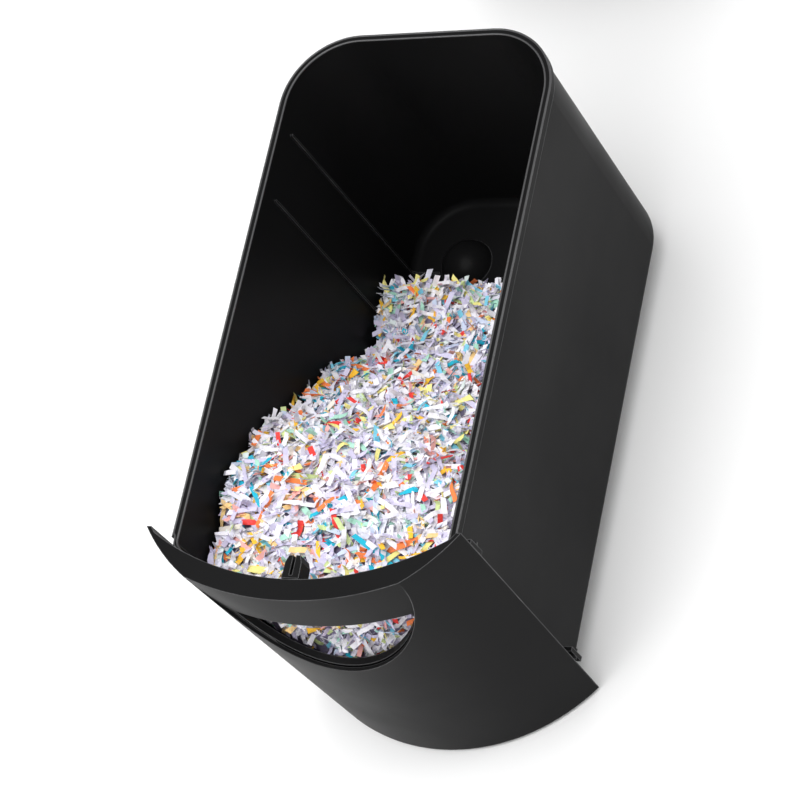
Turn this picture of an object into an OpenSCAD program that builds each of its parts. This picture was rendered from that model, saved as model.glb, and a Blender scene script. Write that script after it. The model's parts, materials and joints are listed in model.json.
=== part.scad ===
// Slim paper shredder with a pull-out waste bin.
// The bin stands drawn out in front of the cabinet, full of cross-cut paper.
// Millimetres, +Z up. X is the machine's width, -Y its front, and z = 0 is the floor.

/* [Machine] */
// Width of the cabinet, and of the bowed front from tip to tip
machine_w = 200; // [170:1:240]
// How far the front bows out in front of its tips
bow = 51; // [35:1:60]
// Depth of the cabinet behind the tips of the front
cabinet_d = 350; // [340:1:420]
// Radius of the cabinet's rear corners
cabinet_r = 50; // [30:1:60]
// Rounding of the head's top edge
top_round = 6; // [4:0.5:8]
// Wall of the cabinet and of the head cover
shell_wall = 3; // [2:0.5:4]
// Height of the head that holds the cutters
head_h = 135; // [130:1:170]
// How far the bin is drawn out of the cabinet
bin_travel = 520; // [0:10:600]

/* [Bin] */
// Height of the bowed front panel
fascia_h = 227; // [210:1:300]
// How far the front leans back at its foot
front_lean = 6; // [0:0.5:9]
// Thickness of the front panel's skin
skin = 2.5; // [2:0.5:3.5]
// Gap between the back of the tub and the cabinet's rear face
tub_end_gap = 16; // [10:1:25]
// Side gap between the tub and the cabinet's outside
tub_side_gap = 11.5; // [9:0.5:16]
// Wall of the tub
tub_wall = 2.5; // [2:0.5:3.5]
// Corner radius at the back of the tub
tub_r = 44; // [25:1:55]
// How far the tub's rim lies below the top of the front
rim_drop = 14; // [8:1:25]
// How far the tub's floor lies above the front panel's lower edge
tub_lift = 15.4; // [14:0.2:24]
// How far the walls lean in from the rim down to the floor
draft = 3; // [0:0.5:4]

/* [Hand opening] */
// Share of the front's width taken by the hand opening
grip_share = 0.68; // [0.55:0.01:0.72]
// Depth of the hand opening below the top
grip_depth = 90; // [75:1:110]
// Height of the handle bar above the opening
bar_h = 39; // [30:1:48]
// How far the bar stands back from the bowed skin at its middle
bar_setback = 8; // [5:1:12]
// Width of the top flange at its middle
flange_w = 13; // [11:1:18]

/* [Bin wheels] */
// Radius of a bin wheel
wheel_r = 12; // [10:0.5:13]
// Width of a bin wheel
wheel_w = 8; // [6:0.5:9]
// Distance of a wheel's middle inside the machine's side
wheel_side = 55; // [48:1:65]
// Distance of the wheels in front of the tub's back
wheel_inset = 52; // [45:1:70]

/* [Cutters] */
// Thickness of a disc, which is the width of a paper strip
disc_t = 4; // [3:0.5:4]
// Radius over a disc's hooks
disc_r = 19; // [18:0.25:19.5]
// Half the distance between the two cutter shafts
shaft_half = 17; // [16.9:0.1:17.4]
// Radius of a cutter shaft
shaft_r = 7; // [6:0.25:8]
// Hooks round a disc
hook_count = 9; // [5:1:12]

/* [Gears] */
// Teeth of the two gears that tie the shafts together
tie_teeth = 17; // [16:1:18]
// Teeth of the big gear on the left shaft
drive_teeth = 44; // [40:1:46]
// Teeth of the idler's small gear
idler_small = 14; // [13:1:15]
// Teeth of the idler's big gear
idler_big = 48; // [44:1:48]
// Teeth of the motor pinion
pinion_teeth = 12; // [12:1:14]
// Module of the drive gear and the idler's small gear
drive_module = 1.5; // [1.4:0.05:1.55]
// Module of the idler's big gear and the pinion
fast_module = 1; // [0.95:0.05:1.05]

/* [Hidden] */
$fn = 64;

black = "#1b1b1c";
steel = "#a9adb2";
eps = 0.01;
slip = 0.05;        // radial clearance of a fixed fit
run_fit = 0.06;     // radial clearance of a running fit
seat = 0.3;         // gap between loose neighbours
groove = 0.8;       // gap between the hand opening's sill and the skin

// --- places shared by the pieces ---
floor_gap = 3;                                   // the front's lower edge clears the floor
bin_y = (bow - bin_travel - cabinet_d) / 2;      // tips of the front, with the bin drawn out
cab_y = bin_y + bin_travel;                      // tips of the front, with the bin home
half_w = machine_w / 2;
tub_len = cabinet_d - tub_end_gap;
grip_half = grip_share * half_w;

function arc_r(half, sag) = (half * half + sag * sag) / (2 * sag);
function arc_drop(r, x) = r - sqrt(r * r - x * x);

bow_r = arc_r(half_w, bow);
bow_c = bow_r - bow;                             // centre of the bow behind the tips
top_z = floor_gap + fascia_h;

tub_half = half_w - tub_side_gap;
rim_z = top_z - rim_drop;
tub_z = floor_gap + tub_lift;
tub_floor_z = tub_z + tub_wall;
tub_front_in = bow_r - bar_setback;              // inner radius of the tub's front wall
tub_front_out = tub_front_in + tub_wall;
lip_out = 1.8;
lip_h = 6;
foot_round = 8;

bar_front = bow - bar_setback;                   // front of the bar, in front of the tips
notch_y = bow - arc_drop(bow_r, grip_half);      // where the bar meets the skin
bar_sag = bar_front - notch_y;
bar_r = arc_r(grip_half, bar_sag);
bar_c = bar_r - bar_front;
mouth_sag = bar_front - flange_w;
mouth_r = arc_r(half_w, mouth_sag);
mouth_c = mouth_r - mouth_sag;
lip_z = top_z - grip_depth;
bar_z = top_z - bar_h;

wheel_x = half_w - wheel_side;
wheel_y = tub_len - wheel_inset;
wheel_pin_r = 1.5;
dome_r = 19;
dome_z = tub_z - 4;

ear_x1 = half_w - shell_wall - 1.2;
ear_y = 3;
ear_t = 3;
ear_h = 16;
ear_z = [tub_z + 26, rim_z - 16];
screw_r = 1.5;
ear_screw_x = tub_half + 4.2;

// --- head ---
deck_z = top_z + 2;                              // underside of the head
deck_t = 3;
deck_top = deck_z + deck_t;
head_top = deck_top + head_h;
cutter_z = deck_top + 53;
plate_y0 = 26;
plate_t = 3;
disc_pitch = 2 * disc_t + 0.4;
gearbox_d = 29.5;                                // rear plate to gearbox plate
motor_d = 47;                                    // gearbox plate to the rear wall's inside
disc_count = floor((cabinet_d - plate_y0 - 3 * plate_t - gearbox_d - motor_d - 7) / disc_pitch);
disc_y0 = plate_y0 + plate_t + 2.5;
block_len = disc_count * disc_pitch + 6.2;
plate_y1 = plate_y0 + plate_t + block_len;
plate_half = 52;
plate_z0 = deck_top + 3;
plate_h = 92;
rod_x = 46;
rod_z = [plate_z0 + 10, plate_z0 + plate_h - 8];
bush_r = shaft_r + 3;
comb_x0 = shaft_half + disc_r + 2.5;
comb_x1 = comb_x0 + 4.5;
slot_w = 6;
slot_y0 = plate_y0 + plate_t + 1;
slot_y1 = plate_y1 - 1;

// gear layers, front to back, behind the rear plate
layer = [plate_y1 + plate_t + 2, plate_y1 + plate_t + 10.5, plate_y1 + plate_t + 19];
gear_w = [7, 6.5, 5];
tie_module = 2 * shaft_half / tie_teeth;
idler_angle = -35;
idler_reach = drive_module * (drive_teeth + idler_small) / 2;
idler_x = -shaft_half + idler_reach * cos(idler_angle);
idler_z = cutter_z + idler_reach * sin(idler_angle);
motor_angle = 60;
motor_reach = fast_module * (idler_big + pinion_teeth) / 2;
motor_x = idler_x + motor_reach * cos(motor_angle);
motor_z = idler_z + motor_reach * sin(motor_angle);
idler_pin_r = 3;
gearbox_y = plate_y1 + plate_t + gearbox_d;
gearbox_x1 = 70;
motor_r = 30;
motor_len = 32;
motor_y = gearbox_y + plate_t;
motor_shaft_r = 2.5;

panel_y0 = -36;
panel_y1 = 12;
panel_half = 42;
panel_t = 3.6;
slider_travel = 6;
panel_z = head_top - shell_wall;
board_z = panel_z - 14;
board_posts = [[-panel_half + 5, panel_y0 + 7], [panel_half - 5, panel_y0 + 7], [-panel_half + 5, panel_y1 - 5], [panel_half - 5, panel_y1 - 5]];
block_screw_x = 38;
block_screw_y = [plate_y0 - 7, plate_y1 + plate_t + 7];
button_x = 26;
button_r = 6;
button_travel = 2;
plunger_y = -22;
plunger_r = 2;
key_top = top_z - 1;
lever_y = (slot_y0 + slot_y1) / 2;
lever_x = 12;
lever_z = head_top - 22;
inlet_x = -30;
inlet_z = deck_top + 22;
post_xy = [[half_w - 12, 14], [half_w - 30, cabinet_d - 14]];

module in_bin() { translate([0, bin_y, 0]) children(); }
module in_cabinet() { translate([0, cab_y, 0]) children(); }
// A flat shape in X and Z, thickened from y0 by t towards the back
module slab(y0, t) { translate([0, y0 + t, 0]) rotate([90, 0, 0]) linear_extrude(t) children(); }
// A rod along Y
module rod(x, z, r, y0, y1) { translate([x, y1, z]) rotate([90, 0, 0]) cylinder(r = r, h = y1 - y0); }

// --- plan outlines, with y = 0 at the tips of the front ---

module machine_plan(inset = 0, depth = cabinet_d) {
    r = cabinet_r;
    intersection() {
        translate([0, bow_c]) circle(bow_r - inset, $fn = 160);
        translate([inset - half_w, -bow - 1]) square([machine_w - 2 * inset, bow + 5]);
    }
    translate([inset - half_w, 3]) square([machine_w - 2 * inset, depth - r - 3]);
    translate([r - half_w, 0]) square([machine_w - 2 * r, depth - inset]);
    for (s = [-1, 1]) translate([s * (half_w - r), depth - r]) circle(r - inset);
}

// Half section with a rounded top edge, out to x = reach
module top_section(reach, z0, z1, r) {
    polygon([[0, z0], [reach, z0], [reach, z1 - r], [reach - r, z1], [0, z1]]);
    translate([reach - r, z1 - r]) intersection() {
        circle(r, $fn = 48);
        square(r);
    }
}

// The head as a filled form with a rounded top edge, inset from its outside
module head_form(inset, z0, z1, r) {
    half = half_w - inset;
    back = cabinet_d - inset;
    corner = cabinet_r - inset;
    translate([0, back - corner, 0]) rotate([90, 0, 0]) linear_extrude(back - corner - 3)
        both() top_section(half, z0, z1, r);
    translate([corner - half, 0, 0]) rotate([90, 0, 90]) linear_extrude(2 * (half - corner))
        top_section(back, z0, z1, r);
    for (s = [-1, 1]) translate([s * (half - corner), back - corner, 0]) rotate_extrude()
        top_section(corner, z0, z1, r);
    intersection() {
        translate([0, bow_c, 0]) rotate_extrude($fn = 160) top_section(bow_r - inset, z0, z1, r);
        translate([0, 4, 0]) rotate([90, 0, 0]) linear_extrude(bow + 5) both() top_section(half, z0, z1, r);
    }
}

// Tub outline: half is the side wall's place, back the rear wall's
module tub_plan(half, back, front_r, round_r) {
    intersection() {
        translate([0, bow_c]) circle(front_r, $fn = 160);
        translate([-half, -bow]) square([2 * half, bow + 20]);
    }
    translate([-half, 0]) square([2 * half, back - round_r]);
    translate([round_r - half, 0]) square([2 * (half - round_r), back]);
    for (s = [-1, 1]) translate([s * (half - round_r), back - round_r]) circle(round_r);
}

// The front's bow stands on an axis that leans back towards its foot
module leaning_disc(r, z0, z1) {
    translate([0, bow_c, top_z]) rotate([atan(front_lean / fascia_h), 0, 0]) translate([0, 0, z0 - top_z])
        cylinder(r = r, h = z1 - z0, $fn = 160);
}

function lean(z) = draft * (rim_z - z) / (rim_z - tub_z);

// Half section of a leaning wall with a rounded foot, out to x = reach at the rim
module wall_section(reach, z0, z1, round_r) {
    foot = reach - lean(z0 + round_r);
    polygon([[0, z0], [foot - round_r, z0], [foot, z0 + round_r], [reach - lean(z1), z1], [0, z1]]);
    translate([foot - round_r, z0 + round_r]) intersection() {
        circle(round_r, $fn = 48);
        translate([0, -round_r]) square(round_r);
    }
}

// The tub as a filled form, inset from its outside by in
module tub_form(in, z0, z1) {
    half = tub_half - in;
    back = tub_len - in;
    r = tub_r - in;
    foot = foot_round - in;
    translate([0, back - r, 0]) rotate([90, 0, 0]) linear_extrude(back - r)
        both() wall_section(half, z0, z1, foot);
    translate([r - half, 0, 0]) rotate([90, 0, 90]) linear_extrude(2 * (half - r))
        wall_section(back, z0, z1, foot);
    for (s = [-1, 1]) translate([s * (half - r), back - r, 0]) rotate_extrude()
        wall_section(r, z0, z1, foot);
    intersection() {
        leaning_disc(tub_front_out - in, -20, top_z + 20);
        translate([0, 1, 0]) rotate([90, 0, 0]) linear_extrude(bow + 1) both() wall_section(half, z0, z1, foot);
    }
}
module both() { for (s = [0, 1]) mirror([s, 0]) children(); }

// The hand opening's outline in X and Z: a half ellipse hanging from the top edge
module grip_outline(grow = 0) {
    a = grip_half + grow;
    b = grip_depth + grow;
    n = 32;
    polygon(concat([[a, top_z + 20], [-a, top_z + 20]],
        [for (i = [0 : n]) [-a * cos(180 * i / n), top_z - b * sin(180 * i / n)]]));
}

// The bowed front between two radii and two heights
module front_band(r_in, r_out, z0, z1) {
    intersection() {
        difference() {
            leaning_disc(r_out, -20, top_z + 20);
            leaning_disc(r_in, -21, top_z + 21);
        }
        translate([-half_w - 1, -bow - 1, z0]) cube([machine_w + 2, bow + 1, z1 - z0]);
    }
}

// --- the bin ---

module wheel_dome(r) {
    for (s = [-1, 1]) translate([s * wheel_x, wheel_y, dome_z]) sphere(r);
}

// Two thin ribs down each side wall, round the foot and out on to the floor
module tub_ribs() {
    rib_t = 1.6;
    rib_h = 1.4;
    rib_top = rim_z - 14;
    floor_run = 26;
    intersection() {
        difference() {
            tub_form(tub_wall - 0.5, tub_floor_z - 0.5, rim_z - 2);
            tub_form(tub_wall + rib_h, tub_floor_z + rib_h, rim_z + 1);
            translate([-tub_half + floor_run, 0, 0]) cube([2 * (tub_half - floor_run), tub_len, rim_z]);
        }
        for (y = [tub_len - 59, tub_len - 105]) translate([-half_w, y, 0]) rotate([90, 0, 90])
            linear_extrude(machine_w) {
                translate([-rib_t / 2, 0]) square([rib_t, rib_top]);
                translate([0, rib_top]) circle(rib_t / 2, $fn = 24);
            }
    }
}

module tub_ears() {
    for (s = [0, 1], z = ear_z) mirror([s, 0, 0]) let (x0 = tub_half - lean(z) - 1.5)
        translate([x0, ear_y, z - ear_h / 2]) cube([ear_x1 - x0, ear_t, ear_h]);
}

module bin_tub() {
    color(black) in_bin() difference() {
        union() {
            difference() {
                union() {
                    tub_form(0, tub_z, rim_z);
                    translate([0, 0, rim_z - lip_h]) linear_extrude(lip_h)
                        intersection() {
                            tub_plan(tub_half + lip_out, tub_len + lip_out, tub_front_out, tub_r + lip_out);
                            translate([-half_w, 0]) square([machine_w, tub_len + 10]);
                        }
                    tub_ears();
                }
                tub_form(tub_wall, tub_floor_z, rim_z + 1);
                // the front wall is open above the hand opening's sill
                slab(-bow - 5, bow + 3) grip_outline(0);
            }
            tub_ribs();
            intersection() {
                wheel_dome(dome_r);
                translate([-half_w, 0, tub_z]) cube([machine_w, tub_len, 60]);
            }
            // sill of the hand opening, turned out to meet the skin, clear of the handle bar
            difference() {
                intersection() {
                    slab(-bow - 5, bow) difference() { grip_outline(2); grip_outline(0); }
                    front_band(tub_front_in, bow_r - skin - groove, lip_z - 5, rim_z);
                    translate([-tub_half, -bow, 0]) cube([2 * tub_half, bow - 6, rim_z]);
                }
                leaning_front() translate([0, 0, bar_z - groove]) linear_extrude(bar_h + 2 * groove)
                    bar_ring(groove);
            }
        }
        wheel_dome(dome_r - tub_wall + 0.5);
        for (s = [-1, 1], z = ear_z) rod(s * ear_screw_x, z, screw_r + 0.2, ear_y - 1, ear_y + ear_t + 1);
    }
}

module fascia_bosses() {
    for (s = [-1, 1], z = ear_z) intersection() {
        rod(s * ear_screw_x, z, 3.4, -20, ear_y);
        translate([0, bow_c + front_lean * (top_z - z) / fascia_h, z - 10])
            cylinder(r = bow_r - 1, h = 20, $fn = 160);
    }
}

// Leans an upright front back at its foot, about the line of its top tips
module leaning_front() {
    intersection() {
        translate([0, 0, top_z]) rotate([atan(front_lean / fascia_h), 0, 0]) translate([0, 0, -top_z])
            children();
        translate([-half_w - 1, -bow - 4, floor_gap]) cube([machine_w + 2, bow + 4, fascia_h + 4]);
    }
}

// The upright front seen from above: the bow from radius r_in to r_out
module bow_ring(r_in, r_out) {
    intersection() {
        translate([0, bow_c]) difference() {
            circle(r_out, $fn = 160);
            circle(r_in, $fn = 160);
        }
        translate([-half_w - 3, -bow - 1]) square([machine_w + 6, bow + 4]);
    }
}

// The handle bar's outer wall seen from above
module bar_ring(grow = 0) {
    intersection() {
        translate([0, bar_c]) difference() {
            circle(bar_r + grow, $fn = 200);
            circle(bar_r - skin - grow, $fn = 200);
        }
        translate([-grip_half - 1.5 - grow, -bow]) square([2 * (grip_half + 1.5 + grow), bow]);
    }
}

module bin_fascia() {
    color(black) in_bin() difference() {
        union() {
            leaning_front() {
                // bowed skin, cut away for the hand
                difference() {
                    translate([0, 0, floor_gap - 4]) linear_extrude(fascia_h + 4) bow_ring(bow_r - skin, bow_r);
                    slab(-bow - 5, bow + 3) grip_outline(0);
                }
                // crescent flange round the mouth
                translate([0, 0, top_z - skin]) linear_extrude(skin) difference() {
                    intersection() {
                        translate([0, bow_c]) circle(bow_r, $fn = 160);
                        translate([-half_w - 3, -bow - 1]) square([machine_w + 6, bow + 4]);
                        union() {
                            translate([0, bar_c]) circle(bar_r, $fn = 200);
                            for (s = [-1, 1]) translate([s > 0 ? grip_half : -half_w - 3, -bow])
                                square([half_w + 3 - grip_half, bow + 3]);
                        }
                    }
                    translate([0, mouth_c]) circle(mouth_r, $fn = 200);
                }
                // handle bar: its outer wall, and its floor between the two ends of the opening
                translate([0, 0, bar_z]) linear_extrude(bar_h) intersection() {
                    bar_ring();
                    translate([0, bow_c]) circle(bow_r, $fn = 160);
                }
                translate([0, 0, bar_z]) linear_extrude(2) intersection() {
                    translate([0, bar_c]) difference() {
                        circle(bar_r - 1, $fn = 200);
                        circle(bar_r - 9, $fn = 200);
                    }
                    translate([-grip_half + 14, -bow]) square([2 * grip_half - 28, bow]);
                }
                // turned-down inner edge of the flange
                translate([0, 0, rim_z + 3]) linear_extrude(rim_drop - 3) intersection() {
                    translate([0, mouth_c]) difference() {
                        circle(mouth_r + 2, $fn = 200);
                        circle(mouth_r, $fn = 200);
                    }
                    translate([-grip_half, -bow]) square([2 * grip_half, bow]);
                }
            }
            fascia_bosses();
        }
        // pilot holes for the screws
        for (s = [-1, 1], z = ear_z) rod(s * ear_screw_x, z, screw_r + slip, -2, ear_y + 1);
    }
}

// Fin behind the handle bar that meets the head's safety switch
module interlock_key() {
    fin_half = 5.5;
    key_slit = 1.8;
    y0 = -mouth_sag + seat + front_lean * rim_drop / fascia_h;
    color(black) in_bin() difference() {
        translate([0, 0, top_z - rim_drop + 1.5]) linear_extrude(key_top - top_z + rim_drop - 1.5)
            polygon([[-fin_half, y0], [fin_half, y0], [fin_half - 0.4, y0 + 10], [fin_half - 2, y0 + 14],
                     [2 - fin_half, y0 + 14], [0.4 - fin_half, y0 + 10]]);
        // slit between its two cheeks
        translate([-key_slit / 2, y0 + 2, top_z - rim_drop + 4]) cube([key_slit, 20, rim_drop + 4]);
    }
}

module fascia_screws() {
    color(steel) in_bin() for (s = [-1, 1], z = ear_z) {
        rod(s * ear_screw_x, z, screw_r, -1.5, ear_y + ear_t + eps);
        difference() {
            rod(s * ear_screw_x, z, 2.9, ear_y + ear_t, ear_y + ear_t + 1.8);
            slab(ear_y + ear_t + 1, 1) for (a = [0, 90]) translate([s * ear_screw_x, z]) rotate(a)
                square([3.4, 0.8], center = true);
        }
    }
}

module front_glides() {
    color("#3a3a3c") in_bin() for (s = [-1, 1]) translate([s * 55, -8, 0]) {
        cylinder(r = 8, h = 6);
        translate([0, 0, 6 - eps]) cylinder(r = 4, h = tub_z - 6 + eps);
    }
}

// Plate under the tub with two lugs that carry a wheel's pin
module wheel_brackets() {
    lug = wheel_w / 2 + 0.8;
    plate = 2;
    color("#2b2b2d") in_bin() for (s = [-1, 1]) translate([s * wheel_x, wheel_y, 0]) difference() {
        union() {
            translate([-dome_r - 3, -wheel_r - 2, tub_z - plate]) cube([2 * dome_r + 6, 2 * wheel_r + 4, plate]);
            for (k = [-1, 1]) translate([k > 0 ? lug : -lug - 2, 0, 0]) {
                translate([0, -4, wheel_r]) cube([2, 8, tub_z - plate / 2 - wheel_r]);
                translate([0, 0, wheel_r]) rotate([0, 90, 0]) cylinder(r = 4, h = 2);
            }
        }
        translate([-lug, -wheel_r - 0.6, tub_z - plate - 1]) cube([2 * lug, 2 * wheel_r + 1.2, plate + 2]);
        translate([-lug - 4, 0, wheel_r]) rotate([0, 90, 0]) cylinder(r = wheel_pin_r + slip, h = 2 * lug + 8);
    }
}

module wheel_pins() {
    color(steel) in_bin() for (s = [-1, 1])
        translate([s * wheel_x - wheel_w / 2 - 3.4, wheel_y, wheel_r]) rotate([0, 90, 0])
            cylinder(r = wheel_pin_r, h = wheel_w + 6.8);
}

module bin_wheel(s) {
    color("#262628") in_bin() translate([s * wheel_x, wheel_y, wheel_r]) rotate([0, 90, 0])
        difference() {
            cylinder(r = wheel_r, h = wheel_w, center = true);
            cylinder(r = wheel_pin_r + run_fit, h = wheel_w + 2, center = true);
            for (k = [-1, 1]) translate([0, 0, k * wheel_w / 2]) difference() {
                cylinder(r = wheel_r - 2.5, h = 3, center = true);
                cylinder(r = 3.5, h = 4, center = true);
            }
        }
}
module left_bin_wheel() { bin_wheel(-1); }
module right_bin_wheel() { bin_wheel(1); }

// The heap of cut paper, banked against the front
heap_slope = [[22, 0], [36, 0.22], [82, 0.31], [140, 0.54], [188, 0.70], [226, 0.85]];
module paper_shreds() {
    deep = rim_z - tub_z;
    color("#d8d6e6") in_bin() intersection() {
        tub_form(tub_wall + 2, tub_floor_z + 1.8, rim_z);
        translate([-half_w, 0, 0]) rotate([90, 0, 90]) linear_extrude(machine_w)
            polygon(concat([[-bow, tub_z]],
                [for (p = heap_slope) [(wheel_y - p[0]), tub_z + p[1] * deep]],
                [[20, tub_z + 0.86 * deep], [-bar_front + 24, tub_z + 0.84 * deep],
                 [-bar_front + 10, lip_z - 6], [-bow, lip_z - 8]]));
    }
}

// --- the cabinet ---

module cabinet_shell() {
    z0 = 8;
    color(black) in_cabinet() translate([0, 0, z0]) linear_extrude(deck_z - z0) difference() {
        intersection() {
            machine_plan();
            translate([-half_w, 1]) square([machine_w, cabinet_d]);
        }
        intersection() {
            machine_plan(shell_wall);
            translate([-half_w, -bow]) square([machine_w, cabinet_d + bow]);
        }
        translate([-half_w + shell_wall, -bow]) square([machine_w - 2 * shell_wall, bow + 20]);
    }
}

rail_in = wheel_x + 15;
module base_frame() {
    color("#202022") in_cabinet() translate([0, 0, 5]) linear_extrude(7) difference() {
        intersection() {
            machine_plan(shell_wall + 0.1);
            translate([-half_w, 4]) square([machine_w, cabinet_d]);
        }
        translate([-rail_in, -bow]) square([2 * rail_in, bow + tub_len - 4]);
    }
}

module rubber_feet() {
    color("#2a2a2a") in_cabinet() for (s = [-1, 1], y = [28, cabinet_d - 70])
        translate([s * 80, y, 0]) cylinder(r1 = 9, r2 = 8, h = 5, $fn = 48);
}

// --- the head's casing ---

module head_base() {
    color(black) in_cabinet() difference() {
        translate([0, 0, deck_z]) linear_extrude(deck_t) machine_plan();
        translate([-comb_x1, slot_y0, deck_z - 1]) cube([2 * comb_x1, slot_y1 - slot_y0, deck_t + 2]);
        for (s = [-1, 1], y = block_screw_y) translate([s * block_screw_x, y, deck_z - 1])
            cylinder(r = 1.6 + slip, h = deck_t + 2);
        translate([0, plunger_y, deck_z - 1]) cylinder(r = plunger_r + 0.5, h = deck_t + 2);
        for (s = [-1, 1], p = post_xy) translate([s * p[0], p[1], deck_z - 1]) cylinder(r = 1.8, h = deck_t + 2);
    }
}

module head_cover() {
    color(black) in_cabinet() {
        difference() {
            head_form(0, deck_top, head_top, top_round);
            head_form(shell_wall, deck_top - 1, head_top - shell_wall, top_round - shell_wall);
            // mouth for the feed throat
            translate([-12, slot_y0 - 6, head_top - 10]) cube([24, slot_y1 - slot_y0 + 12, 20]);
            // window for the control panel
            translate([-panel_half, panel_y0, head_top - 10]) cube([2 * panel_half, panel_y1 - panel_y0, 20]);
            // mains inlet
            translate([inlet_x - 14, cabinet_d - 10, inlet_z - 10]) cube([28, 20, 20]);
            // cooling slots behind the motor
            for (i = [0 : 6]) translate([motor_x - 24 + 8 * i - 1.5, cabinet_d - 10, motor_z - 22]) cube([3, 20, 44]);
        }
        for (s = [-1, 1], p = post_xy) translate([s * p[0], p[1], deck_top]) difference() {
            cylinder(r = 4.5, h = head_h - 1);
            translate([0, 0, -1]) cylinder(r = 1.6 + slip, h = 18);
        }
    }
}

module feed_throat() {
    wall = 2;
    drop = head_top - cutter_z - disc_r - 12;
    color("#111112") in_cabinet() difference() {
        union() {
            translate([-15, slot_y0 - 9, head_top]) cube([30, slot_y1 - slot_y0 + 18, 1.6]);
            translate([-11.7, slot_y0 - 5.7, head_top - 9]) cube([23.4, slot_y1 - slot_y0 + 11.4, 9]);
            translate([-slot_w / 2 - wall, slot_y0 - 2, head_top - drop])
                cube([slot_w + 2 * wall, slot_y1 - slot_y0 + 4, drop]);
        }
        // funnel down to the slot
        translate([0, slot_y0, 0]) rotate([90, 0, 180]) translate([0, 0, 0]) linear_extrude(slot_y1 - slot_y0)
            polygon([[-9, head_top + 2], [9, head_top + 2], [slot_w / 2, head_top - 7], [slot_w / 2, head_top - 90],
                     [-slot_w / 2, head_top - 90], [-slot_w / 2, head_top - 7]]);
        // window for the paper lever
        translate([0, lever_y - 4, lever_z - 14]) cube([20, 8, 20]);
    }
}

module control_panel() {
    color("#0c0c0d") in_cabinet() {
        difference() {
            union() {
                translate([-panel_half + 0.2, panel_y0 + 0.2, panel_z]) cube([2 * panel_half - 0.4, panel_y1 - panel_y0 - 0.4, panel_t]);
                translate([-panel_half - 2, panel_y0 - 2, panel_z - 2]) cube([2 * panel_half + 4, panel_y1 - panel_y0 + 4, 2]);
            }
            translate([-15, -19, panel_z - 5]) cube([30, 8, 20]);
            translate([button_x, -15, panel_z - 5]) cylinder(r = button_r + 0.3, h = 20);
            for (i = [0 : 2]) translate([-14 + 14 * i, 2, panel_z - 5]) cylinder(r = 1.8 + slip, h = 20);
        }
        for (p = board_posts) translate([p[0], p[1], board_z]) difference() {
            cylinder(r = 2.5, h = panel_z - 2 - board_z + eps);
            translate([0, 0, -1]) cylinder(r = 1.2, h = 8);
        }
    }
}

module status_lenses() {
    color("#3fae5a") in_cabinet() for (i = [0 : 2]) translate([-14 + 14 * i, 2, panel_z - 2]) {
        cylinder(r = 1.8, h = panel_t + 2.8);
        translate([0, 0, -1.5]) cylinder(r = 2.6, h = 1.5);
    }
}

module mode_slider() {
    color("#8c9096") in_cabinet() {
        translate([-8, -18, panel_z - 3.3]) cube([16, 6, panel_t + 4.1]);
        translate([-10, -21, panel_z - 4.3]) cube([20, 12, 2]);
        translate([-3, -18, panel_z + panel_t + 0.8 - eps]) cube([6, 6, 2]);
    }
}

module reverse_button() {
    color("#8c9096") in_cabinet() translate([button_x, -15, 0]) {
        translate([0, 0, panel_z - 4]) cylinder(r = button_r, h = panel_t + 6);
        translate([0, 0, panel_z - 4.3]) cylinder(r = button_r + 1.8, h = 2);
    }
}

module panel_board() {
    color("#1f6b3a") in_cabinet() difference() {
        translate([-panel_half + 2, panel_y0 + 4, board_z - 1.6]) cube([2 * panel_half - 4, panel_y1 - panel_y0 - 6, 1.6]);
        for (p = board_posts) translate([p[0], p[1], board_z - 3]) cylinder(r = 1.3, h = 4);
    }
}
module panel_switches() {
    color("#3a3d42") in_cabinet() {
        translate([-14, -20, board_z]) cube([28, 10, panel_z - 4.6 - board_z]);
        translate([button_x - 3, -18, board_z]) cube([6, 6, 3]);
        for (i = [0 : 2]) translate([-14 + 14 * i, 2, board_z]) cylinder(r = 1.8, h = panel_z - 4 - board_z);
    }
}

// --- the cutter block ---

module bearing_plate(y0, x1, foot_y) {
    difference() {
        union() {
            translate([-plate_half, y0, plate_z0]) cube([plate_half + x1, plate_t, plate_h]);
            for (s = [-1, 1]) translate([s * block_screw_x - 8, foot_y, deck_top]) cube([16, 12 + plate_t, 3]);
            for (s = [-1, 1]) translate([s * block_screw_x - 8, y0, deck_top]) cube([16, plate_t, 8]);
        }
        for (s = [-1, 1]) rod(s * shaft_half, cutter_z, bush_r + slip, y0 - 1, y0 + plate_t + 1);
        for (s = [-1, 1], y = block_screw_y) translate([s * block_screw_x, y, deck_top - 1]) cylinder(r = 1.6 + slip, h = 6);
        // gap above the shafts, where the paper comes down
        translate([-slot_w / 2 - 3, y0 - 1, cutter_z + bush_r + 5]) cube([slot_w + 6, plate_t + 2, plate_h]);
        children();
    }
}

module front_bearing_plate() { color(steel) in_cabinet() bearing_plate(plate_y0, plate_half, plate_y0 - 12); }
module rear_bearing_plate() {
    color(steel) in_cabinet() bearing_plate(plate_y1, gearbox_x1, plate_y1)
        rod(idler_x, idler_z, idler_pin_r + slip, plate_y1 - 1, plate_y1 + plate_t + 1);
}

module tie_rods() {
    color(steel) in_cabinet() for (s = [-1, 1], z = rod_z) rod(s * rod_x, z, 3, plate_y0 + plate_t, plate_y1);
}

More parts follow.
